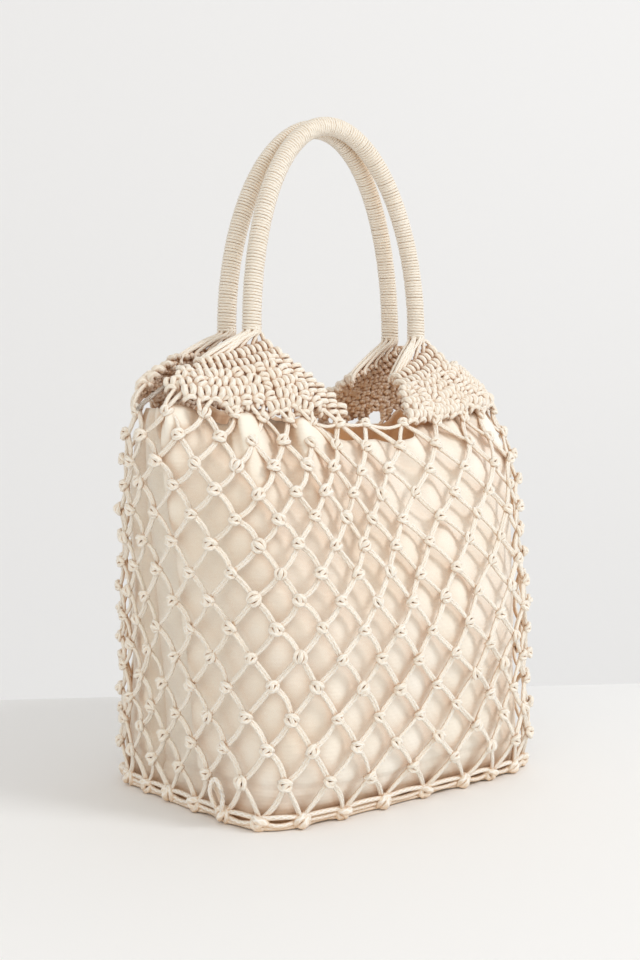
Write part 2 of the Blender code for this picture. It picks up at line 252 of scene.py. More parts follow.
def weave(name, cords, sides):
    """One object of many cords. Each cord is a route, a radius or radii, and its front."""
    rings = len(cords[0][0])
    template = straight_cord(sides, rings)
    pattern = np.array([corner.co for corner in template.vertices])
    bm = bmesh.new()
    for _ in cords:
        bm.from_mesh(template)
    piece = new_piece(name, bm)
    mesh = piece.data
    bpy.data.meshes.remove(template)
    bent = [bend(pattern, *cord) for cord in cords]
    mesh.vertices.foreach_set("co", np.concatenate([pair[0] for pair in bent]).ravel())
    memory = mesh.attributes.new("straight", "FLOAT_VECTOR", "POINT")
    memory.data.foreach_set("vector", np.concatenate([pair[1] for pair in bent]).ravel())
    mesh.polygons.foreach_set("use_smooth", [True] * len(mesh.polygons))
    mesh.calc_loop_triangles()
    print(f"{name}: {len(cords)} cords, {len(mesh.loop_triangles)} triangles")
    return piece


def join(name, parts):
    """Makes one object of several."""
    with bpy.context.temp_override(active_object=parts[0], selected_editable_objects=parts):
        bpy.ops.object.join()
    parts[0].name = name
    parts[0].data.name = name
    return parts[0]


# %% [markdown]
# ## Adding shader nodes
#
# Colours are sRGB hex values, the way a colour picker gives them, and one function turns them to
# the linear values that a shader wants. One more function adds a node, sets and links it.

# %% Colour and nodes


def linear(hex_code):
    """An sRGB hex colour as linear red, green, blue and alpha."""
    channels = [int(hex_code[at:at + 2], 16) / 255 for at in (1, 3, 5)]
    return tuple(c / 12.92 if c <= 0.04045 else ((c + 0.055) / 1.055) ** 2.4
                 for c in channels) + (1.0,)


def add_node(tree, kind, values=None, links=None, **settings):
    """Adds a shader node. Values and links go to inputs by name or number, settings to the
    node. A link comes from a socket, or from the first output of a node."""
    node = tree.nodes.new("ShaderNode" + kind)
    for name, value in settings.items():
        setattr(node, name, value)
    for name, value in (values or {}).items():
        node.inputs[name].default_value = value
    for name, source in (links or {}).items():
        socket = source.outputs[0] if hasattr(source, "outputs") else source
        tree.links.new(socket, node.inputs[name])
    return node


def new_material(name, values):
    """A material whose Principled BSDF has these values, its node tree and that shader."""
    material = bpy.data.materials.new(name)
    material.use_nodes = True
    tree = material.node_tree
    shader = tree.nodes["Principled BSDF"]
    for socket, value in values.items():
        shader.inputs[socket].default_value = value
    return material, tree, shader


# %% [markdown]
# ## Cotton cord
#
# The cord is soft combed cotton, braided round a core of loose yarns, about 3.5 mm thick. It is
# matt, with a little sheen from its stray fibres. Two families of strands wind round it in
# opposite ways, and where they cross the surface rises. The real strands are finer than the
# render can show, so they are drawn a little coarse.

# %% Cotton cord
BRAID_PITCH = 0.007        # one turn of a strand
BRAID_STRANDS = 4          # in each direction
FIBRE_SPACING = 0.0006
FIBRE_STRETCH = 0.15       # fibres run along the cord
# painted shade: the low grooves of the braid get this darker colour
FURROW_SHADE_COLOUR = "#F2E8D8"
NEAR_SHADE_REACH = 0.024         # how far the painted shade of a fold or a cord reaches
FAR_SHADE_REACH = 0.080          # the same for the painted shade inside the shoulders


def mottled(tree, scale, detail, light, dark):
    """A colour that changes from light to dark in soft patches."""
    place = add_node(tree, "TexCoord").outputs["Object"]
    patches = add_node(tree, "TexNoise", {"Scale": scale, "Detail": detail}, {"Vector": place})
    blend = add_node(tree, "MapRange", {"From Min": 0.35, "From Max": 0.65}, {"Value": patches})
    return add_node(tree, "Mix", {6: linear(light), 7: linear(dark)}, {0: blend},
                    data_type="RGBA").outputs[2]


def paint_depth_shade(tree, colour, shade_colour, reach):
    """Paints shade into a colour: darker and warmer, towards the shade colour, where ambient occlusion
    finds surfaces within the reach. It stands for light that arrives in the depths only after it
    has touched cotton several times. The render follows too few of those bounces."""
    openness = add_node(tree, "AmbientOcclusion", {"Distance": reach}, samples=4).outputs["AO"]
    share = add_node(tree, "MapRange", {"From Min": 0.0, "From Max": 0.75}, {"Value": openness})
    return add_node(tree, "Mix", {6: linear(shade_colour)}, {0: share, 7: colour},
                    data_type="RGBA").outputs[2]


def cotton_cord(name, light, dark, shade_colour, reach):
    material, tree, shader = new_material(name, {"Roughness": 0.9, "Specular IOR Level": 0.25,
                                                 "Sheen Weight": 0.25, "Sheen Roughness": 0.5})
    memory = add_node(tree, "Attribute", attribute_name="straight").outputs["Vector"]
    parts = add_node(tree, "SeparateXYZ", links={0: memory}).outputs
    turn = add_node(tree, "Math", links={0: parts["Y"], 1: parts["X"]}, operation="ARCTAN2")
    along = add_node(tree, "Math", {1: 2 * math.pi / BRAID_PITCH}, {0: parts["Z"]},
                     operation="MULTIPLY")
    strands = {}
    for number, way in enumerate((1, -1)):
        winding = add_node(tree, "Math", {1: way * BRAID_STRANDS}, {0: turn, 2: along},
                           operation="MULTIPLY_ADD")
        strands[number] = add_node(tree, "Math", links={0: winding}, operation="SINE")
    braid = add_node(tree, "Math", links=strands, operation="MAXIMUM")
    combed = add_node(tree, "Mapping", {"Scale": (1.0, 1.0, FIBRE_STRETCH)}, {"Vector": memory})
    fibres = add_node(tree, "TexNoise", {"Scale": 1 / FIBRE_SPACING, "Detail": 2.0},
                      {"Vector": combed})
    relief = add_node(tree, "Math", {1: 0.6}, {0: fibres, 2: braid}, operation="MULTIPLY_ADD")
    bump = add_node(tree, "Bump", {"Strength": 0.50, "Distance": 0.0004}, {"Height": relief})
    # Painted shade: the colour darkens where the braid is low, in its grooves.
    furrow_shade = add_node(tree, "MapRange", {"From Min": 0.1, "From Max": 0.8}, {"Value": braid})
    braided = add_node(tree, "Mix", {6: linear(FURROW_SHADE_COLOUR)},
                       {0: furrow_shade, 7: mottled(tree, 28.0, 3.0, light, dark)}, data_type="RGBA")
    colour = paint_depth_shade(tree, braided.outputs[2], shade_colour, reach)
    tree.links.new(colour, shader.inputs["Base Color"])
    tree.links.new(bump.outputs[0], shader.inputs["Normal"])
    print("material:", name)
    return material


# The third colour of each cotton cord is its painted shade colour, laid into its depths.
net_cotton = cotton_cord("Braided cotton cord", "#FBF7EF", "#F7F1E6", "#CF9C68", NEAR_SHADE_REACH)
# The shoulders' copy is painted darker, with darker painted shade that reaches further, for the shade
# among their dense knots.
shaded_knot_cotton = cotton_cord("Tightly knotted cotton cord, painted darker", "#FAF5EC", "#F4EDE0", "#C08C5C", FAR_SHADE_REACH)
# The wrapping gets paler painted shade in the grooves between its turns.
wrap_cotton = cotton_cord("Cotton cord of the wrapping", "#F9F5EC", "#F4EEE2", "#DDBB92", NEAR_SHADE_REACH)
# The chain's copy is painted lighter, with paler painted shade, against the shade near the table.
lightened_chain_cotton = cotton_cord("Cotton cord of the chain, painted lighter", "#FDFAF5", "#FAF6EF", "#E6C39C", NEAR_SHADE_REACH)

# %% [markdown]
# ## Where the knots of the net lie
#
# The net has 28 knots in a row and 14 rows above the sole. Every other row is shifted by half
# a step, which makes the diamonds. A real net isn't regular: it is drawn together in some
# places and apart in others. Two small tables say how far the knots have drifted sideways and
# up. The front and the back share them. A seeded random generator adds the last millimetres.

# %% Knot places
NET_ROUND = 28
NET_ROWS = 14
ROW_CROWDING = 0.90        # rows come closer together towards the top
KNOT_INSET = 0.0062
RIM_KNOT_HEIGHT = 0.0085
KNOT_WANDER = 0.0016
INSET_WANDER = 0.0012
FRAME_STEP = 0.002
DRIFT_SHARES = np.arange(-0.25, 0.21, 0.05)
DRIFT_ROWS = (0.0, 0.25, 0.5, 0.75, 1.0)
DRIFT_ASIDE = np.array((     # millimetres towards +X, a line for each of the rows above
    (-16, -15, -13, -18, -11, 10, 26, 18, 2, -11),
    (-15, -6, -2, -9, -8, 2, 10, 8, 1, -9),
    (-8, 4, 6, -2, -11, -19, -12, 3, 6, -1),
    (16, 20, 15, 3, -19, -31, -13, 11, 17, 17),
    (39, 32, 16, -1, -21, -27, -5, 18, 31, 38),
)) / 1000
DRIFT_UP = np.array((
    (0, 0, 0, 0, 0, 0, 0, 0, 0, 0),
    (-12, -5, 6, 3, -4, -8, -3, 0, -4, -10),
    (-7, 0, 5, 5, 3, 0, 2, 0, -3, -6),
    (5, 2, 0, 5, 4, 3, 1, -2, -1, 1),
    (0, 0, 0, 0, 0, 0, 0, 0, 0, 0),
)) / 1000

dice = random.Random(7)
wander = {(column, row): [dice.uniform(-1, 1) for _ in range(4)]
          for row in range(NET_ROWS + 1) for column in range(NET_ROUND)}


def drift(table, share, up):
    """A value of a drift table. The table repeats after half a round."""
    lines = [np.interp(share, DRIFT_SHARES, line, period=0.5) for line in table]
    return float(np.interp(up, DRIFT_ROWS, lines))


def knot_place(column, row):
    """Share of the way round, height, inset and turn of a knot of the net."""
    up = row / NET_ROWS
    regular = (column + 0.5 * (row % 2)) / NET_ROUND
    aside, rise, out, turn = wander[column % NET_ROUND, row]
    share = regular + (drift(DRIFT_ASIDE, regular, up) + aside * KNOT_WANDER) / girth
    loose = min(row, NET_ROWS - row, 2) / 2
    height = between(RIM_KNOT_HEIGHT, net_top(share), up ** ROW_CROWDING)
    height += drift(DRIFT_UP, regular, up) + loose * rise * KNOT_WANDER
    return share, height, KNOT_INSET + INSET_WANDER * out, turn


def frame_at(surface, *place):
    """A point of a surface with its direction round, its direction up and its way out."""
    here = surface(*place)
    ahead = surface(place[0] + FRAME_STEP, *place[1:])
    above = surface(place[0], place[1] + FRAME_STEP, *place[2:])
    round_way = unit(ahead - here)
    out = unit(np.cross(round_way, unit(above - here)))
    return here, round_way, np.cross(out, round_way), out


print(f"{NET_ROUND * NET_ROWS} knots, about {girth / NET_ROUND * 1000:.0f} mm apart")

# %% [markdown]
# ## The shape of a knot
#
# Each knot is a square knot. Some show a short strand that crosses over, with a loop that hugs
# it on each side. Most show two bands, one above the other, with a stitch where they meet.
# Three bent cords give each shape. They have few faces, because the bag has about a thousand
# knots.

# %% Knots
NET_KNOT = (
    # name, thickness in shares of the knot's size, points: right, up and out, in hundredths of it
    ("crossing", 0.38, ((-34, -50, 10), (-19, -25, 62), (0, 2, 80), (18, 28, 60), (34, 52, 10))),
    ("left loop", 0.33, ((10, 72, 15), (-42, 62, 40), (-69, 8, 36), (-54, -50, 24), (0, -66, -5))),
    ("right loop", 0.33, ((-10, -74, 15), (44, -60, 42), (69, -6, 36), (52, 52, 22), (0, 66, -5))),
)
BANDED_KNOT = (
    ("upper band", 0.38, ((-66, 2, -10), (-50, 38, 44), (0, 50, 62), (48, 42, 44), (64, 8, -10))),
    ("lower band", 0.38, ((66, -4, -10), (50, -40, 42), (0, -52, 58), (-48, -44, 42), (-64, -8, -10))),
    ("stitch", 0.30, ((-30, 42, 20), (-18, 22, 66), (0, 0, 74), (18, -22, 66), (30, -42, 20))),
)
LOOP_RINGS = 8
LOOP_SIDES = 6


def smooth_route(points, count):
    """Count points on a smooth curve through a few given ones."""
    points = np.asarray(points, float)
    gaps = np.linalg.norm(np.diff(points, axis=0), axis=1)
    knots = np.concatenate([[0.0], np.cumsum(np.sqrt(np.maximum(gaps, 1e-9)))])
    slopes = np.gradient(points, knots, axis=0)
    where = np.linspace(0, knots[-1], count)
    at = np.clip(np.searchsorted(knots, where, side="right") - 1, 0, len(points) - 2)
    step = (knots[at + 1] - knots[at])[:, None]
    return smooth_between(points, slopes, at, step, (where - knots[at])[:, None] / step)


def knot_cords(shape, here, size, turn=0.0, mirrored=False):
    """The loops of one knot on a frame, as cords."""
    centre, round_way, up_way, out = here
    right = round_way * math.cos(turn) + up_way * math.sin(turn)
    up = up_way * math.cos(turn) - round_way * math.sin(turn)
    axes = np.array([-right if mirrored else right, up, out]) * size
    return [(smooth_route(np.array(points) / 100, LOOP_RINGS) @ axes + centre, thickness * size, out)
            for name, thickness, points in shape]


# %% [markdown]
# ## The net
#
# Between two knots run two cords side by side, which lie so close that they look like one fat
# cord with a groove. The groove wanders, because the pair is twisted a little. Each side of a
# diamond bows a little sideways and dips towards the canvas in its middle.

# %% Net
KNOT_SIZE = 0.0066
KNOT_SPREAD = 0.10
KNOT_TURN = 0.75
MIRRORED_SHARE = 0.4
PAIR_RADIUS = 0.00172
PAIR_HALF_SPACING = 0.00098
STRAND_RINGS = 8
STRAND_SIDES = 6
STRAND_BOW = 0.0019
STRAND_BOW_SPREAD = 0.0017
STRAND_DIP = 0.0006
STRAND_DIP_SPREAD = 0.0020
STRAND_TWIST = 1.1
SLACK_BOW = 0.0020
SLACK_BOW_STEP = 0.0030

net_knots = []
for row in range(1, NET_ROWS + 1):
    for column in range(NET_ROUND):
        share, height, inset, turn = knot_place(column, row)
        here = frame_at(wall_point, share, height, inset)
        shape = dice.choice((BANDED_KNOT, BANDED_KNOT, NET_KNOT))
        size = KNOT_SIZE * (1 + KNOT_SPREAD * dice.uniform(-1, 1))
        net_knots += knot_cords(shape, here, size, KNOT_TURN * turn,
                                dice.random() < MIRRORED_SHARE)


def strand(start_knot, end_knot, bow, dip, twist):
    """The two cords of one side of a diamond. The bow bends them sideways, the dip brings them
    nearer to the canvas, and the twist says how the pair lies at its two ends."""
    start, end = np.array(start_knot[:3]), np.array(end_knot[:3])
    end[0] += round(start[0] - end[0])
    out = frame_at(wall_point, *between(start, end, 0.5))[3]
    along = np.linspace(0, 1, STRAND_RINGS)[:, None]
    hump = np.sin(np.pi * along)
    places = between(start, end, along) + hump * (0, 0, dip)
    route = np.array([wall_point(*place) for place in places])
    side = np.cross(unit(route[-1] - route[0]), out)
    route = route + bow * hump * side
    angle = between(twist[0], twist[1], along)
    apart = PAIR_HALF_SPACING * (np.cos(angle) * side + np.sin(angle) * out)
    return [(route + apart, PAIR_RADIUS, out), (route - apart, PAIR_RADIUS, out)]


net_cords = []
for row in range(NET_ROWS):
    for column in range(NET_ROUND):
        for lean in (0, 1):
            bow = STRAND_BOW + STRAND_BOW_SPREAD * dice.uniform(-1, 1)
            twist = [dice.uniform(-STRAND_TWIST, STRAND_TWIST) for _ in range(2)]
            dip = STRAND_DIP + STRAND_DIP_SPREAD * dice.random()
            upper = knot_place(column + lean - (row + 1) % 2, row + 1)
            net_cords += strand(knot_place(column, row), upper, bow, dip, twist)

# Where no shoulder stands, the top knots are joined by one more slack pair.
for middle in (0, NET_ROUND // 2):
    for column in range(middle - 1, middle + 2):
        bow = SLACK_BOW + SLACK_BOW_STEP * (column % 2)
        net_cords += strand(knot_place(column - 1, NET_ROWS), knot_place(column, NET_ROWS),
                            bow, 0.0, (0.4, 1.2))

net_knot_piece = weave("net_knots", net_knots, LOOP_SIDES)
net_cord_piece = weave("net_cords", net_cords, STRAND_SIDES)

# %% [markdown]
# ## Finishing a piece
#
# Each finished piece gets its material, rides on the bag, and hides the solid it stands for.

# %% Finish helper


def finish_piece(piece, material, node):
    piece.data.materials.append(material)
    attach(piece, "root")
    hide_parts(node)


finish_piece(net_knot_piece, net_cotton, "net")
finish_piece(net_cord_piece, net_cotton, "net")

# %% [markdown]
# ## The chain round the sole
#
# The net ends in a chain: four slack cords run round the sole from knot to knot, and the bag
# stands on them. At the front left corner one cord has slipped and stands up as a small loop.

# %% Base rim
RIM_CORD_RADIUS = 0.0022
RIM_CORDS = (
    # name, inset, height, wave in, wave up
    ("outer", 0.0034, 0.0029, 0.0022, 0.0010),
    ("inner", 0.0082, 0.0028, -0.0010, 0.0006),
    ("middle", 0.0050, 0.0072, -0.0016, -0.0016),
    ("upper", 0.0062, 0.0116, -0.0008, 0.0016),
)
RIM_STEPS = 8
RIM_SLACK = 1.6
RIM_KNOT_SIZE = 0.0088
RIM_KNOT_INSET = 0.0064
UPWARD = np.array([0.0, 0.0, 1.0])
CORNER_LOOP = (
    # share, height, inset
    (-0.196, 0.008, 0.0050), (-0.197, 0.017, 0.0010), (-0.199, 0.031, 0.0000),
    (-0.192, 0.042, 0.0000), (-0.185, 0.032, 0.0000), (-0.187, 0.018, 0.0010),
    (-0.192, 0.008, 0.0040),
)

rim_shares = [knot_place(column, 0)[0] for column in range(NET_ROUND)]
rim_shares.append(rim_shares[0] + 1)
rim_cords = []
for name, inset, height, wave_in, wave_up in RIM_CORDS:
    route = []
    slacks = [dice.uniform(0.0, RIM_SLACK) for _ in range(NET_ROUND)]
    for step in range(NET_ROUND * RIM_STEPS + 1):
        part = (step % RIM_STEPS) / RIM_STEPS
        share = np.interp(step / RIM_STEPS, np.arange(NET_ROUND + 1), rim_shares)
        hump = math.sin(math.pi * part) ** 2 * slacks[step // RIM_STEPS % NET_ROUND]
        route.append(wall_point(share, height + wave_up * hump, inset + wave_in * hump))
    rim_cords.append((np.array(route), RIM_CORD_RADIUS, UPWARD))
rim_knots = []
for column in range(NET_ROUND):
    share, height, inset, turn = knot_place(column, 0)
    here = frame_at(wall_point, share, height, RIM_KNOT_INSET)
    shape = (BANDED_KNOT, NET_KNOT)[column % 2]
    rim_knots += knot_cords(shape, here, RIM_KNOT_SIZE, 0.5 * turn, column % 4 == 0)
for route, radius, front in rim_knots:
    route[:, 2] = np.maximum(route[:, 2], radius)      # it rests on the table
loop = smooth_route([wall_point(*place) for place in CORNER_LOOP], 17)
chain_parts = [weave("rim_cords", rim_cords, STRAND_SIDES),
               weave("rim_knots", rim_knots, LOOP_SIDES),
               weave("corner_loop", [(loop, RIM_CORD_RADIUS, UPWARD)], STRAND_SIDES)]
finish_piece(join("base_chain", chain_parts), lightened_chain_cotton, "base_rim")

# %% [markdown]
# ## The four shoulders
#
# A shoulder is a dense panel of square knots, from the top knots of the net to a short slanting
# edge below the handle. The table that shaped the solids shapes it here. A point of it has a
# share of the way across, from the middle of the bag to its side, and a share of the way up.

# %% Shoulder surface
SHOULDER_THICKNESS = 0.008
SHOULDER_START = 1 / 32      # share of the way round where a shoulder begins
SHOULDER_BULGE = 0.007
SEAT_GAP = 0.0003
SIDE_SLIT = 0.0030
FAN_REACH = 0.060
FAN_DROP = 0.040
FAN_LEAN = 0.006
QUARTERS = (
    # name, side, end, inner reach, inner drop, outer reach, outer drop, bound on the inside
    ("front_right", 1, 1, 0.62, 1.00, 0.31, 0.14, False),
    ("front_left", -1, 1, 0.22, 0.22, 1.05, 0.78, True),
    ("back_right", 1, -1, 0.90, 1.00, 0.26, 0.16, False),
    ("back_left", -1, -1, 0.22, 0.26, 0.90, 0.64, True),
)


def top_edge(quarter, across, inset):
    """A point of the top edge of a shoulder, as if it were the front right one."""
    inner_reach, inner_drop, outer_reach, outer_drop = quarter[3:7]
    x = HANDLE_SPREAD / 2 + between(-inner_reach, outer_reach, across) * FAN_REACH
    y = inset - HANDLE_PITCH / 2 - FAN_LEAN
    z = HANDLE_FOOT - SEAT_GAP - between(inner_drop, outer_drop, across) * FAN_DROP
    return np.array([x, y, z])


def shoulder_surface(quarter):
    """A function that gives a point of this shoulder for across, up and inset."""
    side, end = quarter[1:3]

    def surface(across, up, inset=0.0):
        share = between(SHOULDER_START, 0.25, across)
        share = share if side == end else 1 - share
        share += 0.5 if end < 0 else 0.0
        low_height = net_top(share) + SEAT_GAP
        x, y, z = wall_point(share, low_height, inset)
        x, y = side * (x - STAND_SHIFT), min(end * y, -SIDE_SLIT / 2)
        top_x, top_y, top_z = top_edge(quarter, across, inset)
        crown = 4 * SHOULDER_BULGE * up * (1 - up)
        x = between(x, top_x, up) + across * crown
        y = between(y, top_y, up) - crown
        return np.array([side * x + STAND_SHIFT, end * y, between(low_height, top_z, up)])

    return surface


def shoulder_frame(quarter, surface, across, up, inset):
    """The frame of a shoulder at a place. Its way out points away from the bag."""
    here, round_way, up_way, out = frame_at(surface, across, up, inset)
    flip = quarter[1] * quarter[2]
    return here, flip * round_way, up_way, flip * out


# %% [markdown]
# Two rows of half hitches bind the top edge, and two more bind the free edge. They show as
# upright ovals, side by side. Square knots fill the rest, in rows that are shifted by half a
# step. The panel is two layers thick, so that its inside is knotted too and hardly any light
# comes through.

# %% Shoulder knots
HITCH = (
    ("turn", 0.54, ((6, -100, -45), (3, -70, 40), (0, 0, 72), (-3, 70, 40), (-6, 100, -45))),
)
SQUARE_KNOT = (
    ("left turn", 0.42, ((-26, -58, -15), (-46, -32, 46), (-50, 2, 64), (-44, 34, 46), (-22, 58, -15))),
    ("right turn", 0.42, ((24, -56, -15), (44, -32, 50), (48, 4, 68), (42, 34, 48), (26, 60, -15))),
    ("bar", 0.34, ((-70, -92, -30), (-40, -86, 14), (0, -80, 34), (40, -84, 16), (70, -90, -30))),
)
CROSSED_KNOT = (
    ("upper turn", 0.38, ((-62, 10, -15), (-36, 32, 50), (0, 42, 66), (36, 32, 50), (64, 12, -15))),
    ("lower turn", 0.38, ((-60, -14, -15), (-32, -34, 44), (4, -38, 58), (38, -30, 44), (62, -14, -15))),
    ("tuck", 0.32, ((-10, -105, -20), (-4, -80, 30), (0, -60, 36), (5, -40, 20), (6, -20, -10))),
)
HITCH_PAIR_PITCH = 0.0142
HITCH_PAIR_GAP = 0.0033
HITCH_SIZE = 0.0049
HITCH_SPREAD = (0.93, 1.10)
HITCH_TURN = 0.16
HITCH_JITTER = 0.0005
HITCH_ROW = 0.0106
HITCH_ROWS = 2
KNOT_PITCH = 0.0130
KNOT_ROW = 0.0102
KNOT_LOWEST = 0.15
KNOT_LOWEST_SLACK = 0.46     # at the outer end of the slack shoulders
SLACK_FROM = 0.62            # share of the way across where they begin to be slack
SLACK_REACH = 0.30
DENSE_KNOT_SIZE = 0.0075
DENSE_KNOT_SPREAD = (0.90, 1.12)
DENSE_KNOT_TURN = 0.45
UP_JITTER = 0.008
INSET_JITTER = 0.0009
MOST_KNOT_ROWS = 12
ROW_MIDDLE = 0.55            # of the first row, in rows from the edge
BOUND_FROM = 0.10            # share of the height where the bound edge begins
LAYER_INSETS = (0.0022, 0.0064)
LINK_REACH = 0.0075
LINK_SPREAD = (0.7, 1.3)
LINK_RISE = 1.2              # a link ends this far past the height of the lowest knots
LINK_MARGIN = 0.04
LINK_INSET = 0.003
LINK_RADIUS = 0.0021


def spaced(surface, across, up, pitch, phase):
    """Places that lie a pitch apart on a line of the surface."""
    run = distance_along([surface(a, u) for a, u in zip(across, up)])
    return [(float(np.interp(at, run, across)), float(np.interp(at, run, up)))
            for at in np.arange(phase * pitch, run[-1], pitch)]


def length_table(surface, upward):
    """How long the shoulder is, upwards or across, at 21 places."""
    line = np.linspace(0, 1, 15)
    table = []
    for place in np.linspace(0, 1, 21):
        points = [surface(place, t) if upward else surface(t, place) for t in line]
        table.append(distance_along(points)[-1])
    return np.array(table)


def hitch_pair(here):
    """Two half hitches side by side: upright ovals with a gap to the next pair."""
    centre, right, upward, out = here
    cords = []
    for way in (-1, 1):
        rise = dice.uniform(-HITCH_JITTER, HITCH_JITTER)
        middle = centre + right * way * HITCH_PAIR_GAP + upward * rise
        size = HITCH_SIZE * dice.uniform(*HITCH_SPREAD)
        cords += knot_cords(HITCH, (middle, right, upward, out), size,
                            dice.uniform(-HITCH_TURN, HITCH_TURN))
    return cords


def lowest_knots(across, slack):
    """How far up the lowest knots of a shoulder lie."""
    ease = np.clip((across - SLACK_FROM) / SLACK_REACH, 0, 1)
    return between(KNOT_LOWEST, KNOT_LOWEST_SLACK if slack else KNOT_LOWEST, ease)


# %% Rows of a shoulder
SHARES = np.linspace(0, 1, 21)
LINE = np.linspace(0, 1, 61)


def from_bound_edge(quarter, across):
    """Turns a share of the way across round where the bound edge is the outer one."""
    return across if quarter[7] else 1 - across


def hitch_rows(quarter, surface, heights, widths, inset):
    """The half hitches along the top edge and along the bound edge of a layer."""
    cords = []
    for row in range(HITCH_ROWS):
        from_edge = (row + ROW_MIDDLE) * HITCH_ROW
        up = 1 - from_edge / np.interp(LINE, SHARES, heights)
        for place in spaced(surface, LINE, up, HITCH_PAIR_PITCH, 0.5):
            cords += hitch_pair(shoulder_frame(quarter, surface, *place, inset))
        rise = np.linspace(BOUND_FROM, 1 - (HITCH_ROWS + 0.3) * HITCH_ROW / heights[0], len(LINE))
        across = from_bound_edge(quarter, from_edge / np.interp(rise, SHARES, widths))
        for place in spaced(surface, across, rise, HITCH_PAIR_PITCH, 0.5):
            centre, right, upward, out = shoulder_frame(quarter, surface, *place, inset)
            cords += hitch_pair((centre, upward, right, out))
    return cords


def knot_rows(quarter, surface, heights, widths, inset, layer):
    """The square knots of a layer, from the hitches down to the lowest row."""
    cords = []
    for row in range(MOST_KNOT_ROWS):
        drop = HITCH_ROWS * HITCH_ROW + (row + ROW_MIDDLE) * KNOT_ROW
        up = 1 - drop / np.interp(LINE, SHARES, heights)
        seen = up > lowest_knots(LINE, quarter[7])
        if seen.sum() < 3:
            break
        for across, up in spaced(surface, LINE[seen], up[seen], KNOT_PITCH,
                                 0.5 * ((row + layer) % 2) + 0.25):
            from_edge = from_bound_edge(quarter, across) * np.interp(up, SHARES, widths)
            if from_edge < HITCH_ROWS * HITCH_ROW:
                continue
            rise = dice.uniform(-UP_JITTER, UP_JITTER)
            depth = inset + dice.uniform(-INSET_JITTER, INSET_JITTER)
            here = shoulder_frame(quarter, surface, across, up + rise, depth)
            shape = dice.choice((SQUARE_KNOT, SQUARE_KNOT, SQUARE_KNOT, CROSSED_KNOT))
            size = DENSE_KNOT_SIZE * dice.uniform(*DENSE_KNOT_SPREAD)
            turn = dice.uniform(-DENSE_KNOT_TURN, DENSE_KNOT_TURN)
            cords += knot_cords(shape, here, size, turn, dice.random() < 0.5)
    return cords


def link_cords(quarter, surface, widths):
    """Two cords from each top knot of the net up to the lowest knots of a shoulder."""
    side, end = quarter[1:3]
    cords = []
    for column in range(NET_ROUND):
        share, height, inset, turn = knot_place(column, NET_ROWS)
        share = (share - (0.5 if end < 0 else 0.0)) % 1.0
        share = share if side == end else 1 - share
        across = (share - SHOULDER_START) / (0.25 - SHOULDER_START)
        if not -LINK_MARGIN < across < 1 + LINK_MARGIN:
            continue
        top = LINK_RISE * float(lowest_knots(across, quarter[7]))
        for way in (-1, 1):
            reach = way * LINK_REACH * dice.uniform(*LINK_SPREAD) / widths[2]
            aside = np.clip(across + reach * np.linspace(0.1, 1, LOOP_RINGS), 0, 1)
            route = [surface(a, u, LINK_INSET * (1 - math.sin(math.pi * u / top)))
                     for a, u in zip(aside, np.linspace(0, top, LOOP_RINGS))]
            out = shoulder_frame(quarter, surface, aside[3], 0.08, inset)[3]
            cords.append((np.array(route), LINK_RADIUS, out))
    return cords


for quarter in QUARTERS:
    surface = shoulder_surface(quarter)
    heights = length_table(surface, True)
    widths = length_table(surface, False)
    knots = []
    for layer, inset in enumerate(LAYER_INSETS):
        knots += hitch_rows(quarter, surface, heights, widths, inset)
        knots += knot_rows(quarter, surface, heights, widths, inset, layer)
    knots += link_cords(quarter, surface, widths)
    piece = weave(f"shoulder_knots_{quarter[0]}", knots, LOOP_SIDES)
    finish_piece(piece, shaded_knot_cotton, f"shoulder_{quarter[0]}")

# %% [markdown]
# ## The fans
#
# Below each handle the cords of its core come free. Some run side by side to the far end of the
# shoulder's top edge, and the others spread over the rest of it.

# %% Fans
FAN_CORD_RADIUS = 0.0020
FAN_RINGS = 13
FAN_SEATS = (
    # share of the way to the far end, share of the thickness, drop
    (0.02, 0.3, 0.0), (0.11, 0.7, 0.0), (0.20, 0.3, 0.0), (0.30, 0.7, 0.0), (0.41, 0.3, 0.0),
    (0.52, 0.7, 0.0), (0.63, 0.3, 0.0), (0.75, 0.7, 0.0), (0.99, 0.15, 0.0), (0.97, -0.05, 0.0036),
    (0.93, -0.15, 0.0070), (1.00, 0.75, 0.0005),
)

for quarter in QUARTERS:
    name, side, end = quarter[:3]
    cords = []
    for seat, depth, drop in FAN_SEATS:
        near = from_bound_edge(quarter, seat)
        front = -1 if depth < 0.5 else 1
        turn = front * math.acos(min(max(1.9 * near - 0.95, -1), 1))
        ring = HANDLE_THICKNESS / 2 - 1.15 * FAN_CORD_RADIUS
        foot = np.array([HANDLE_SPREAD / 2 + ring * math.cos(turn),
                         ring * math.sin(turn) - HANDLE_PITCH / 2, HANDLE_FOOT])
        last = top_edge(quarter, near, SHOULDER_THICKNESS * depth) + (0, 0, -drop)
        lift = np.array([0, 0, 0.0015 - 0.6 * drop])
        points = [foot + (0, 0, 0.004), foot + (0, 0, -0.0005), between(foot, last, 0.45) + lift,
                  last, last + (0, 0.0015, -0.006)]
        route = smooth_route(points, FAN_RINGS) * (side, end, 1) + (STAND_SHIFT, 0, 0)
        cords.append((route, FAN_CORD_RADIUS, np.array([0.0, -end, 0.2])))
    piece = weave(f"fan_cords_{name}", cords, 8)
    finish_piece(piece, net_cotton, f"fan_{name}")

# %% [markdown]
# ## The handles
#
# Each handle is a bundle of cords with one more cord wound tightly round it, about 170 turns.
# The winding is one long cord on a helix. The turns don't lie perfectly even: some press
# together and leave a darker gap beside them.

# %% Handles
WRAP_PITCH = 0.0030
WRAP_RADIUS = 0.00160
WRAP_STEPS = 12
WRAP_WANDER = 0.00036
WRAP_SLACK = (-0.00018, 0.00012)
CORE_STEPS = 97


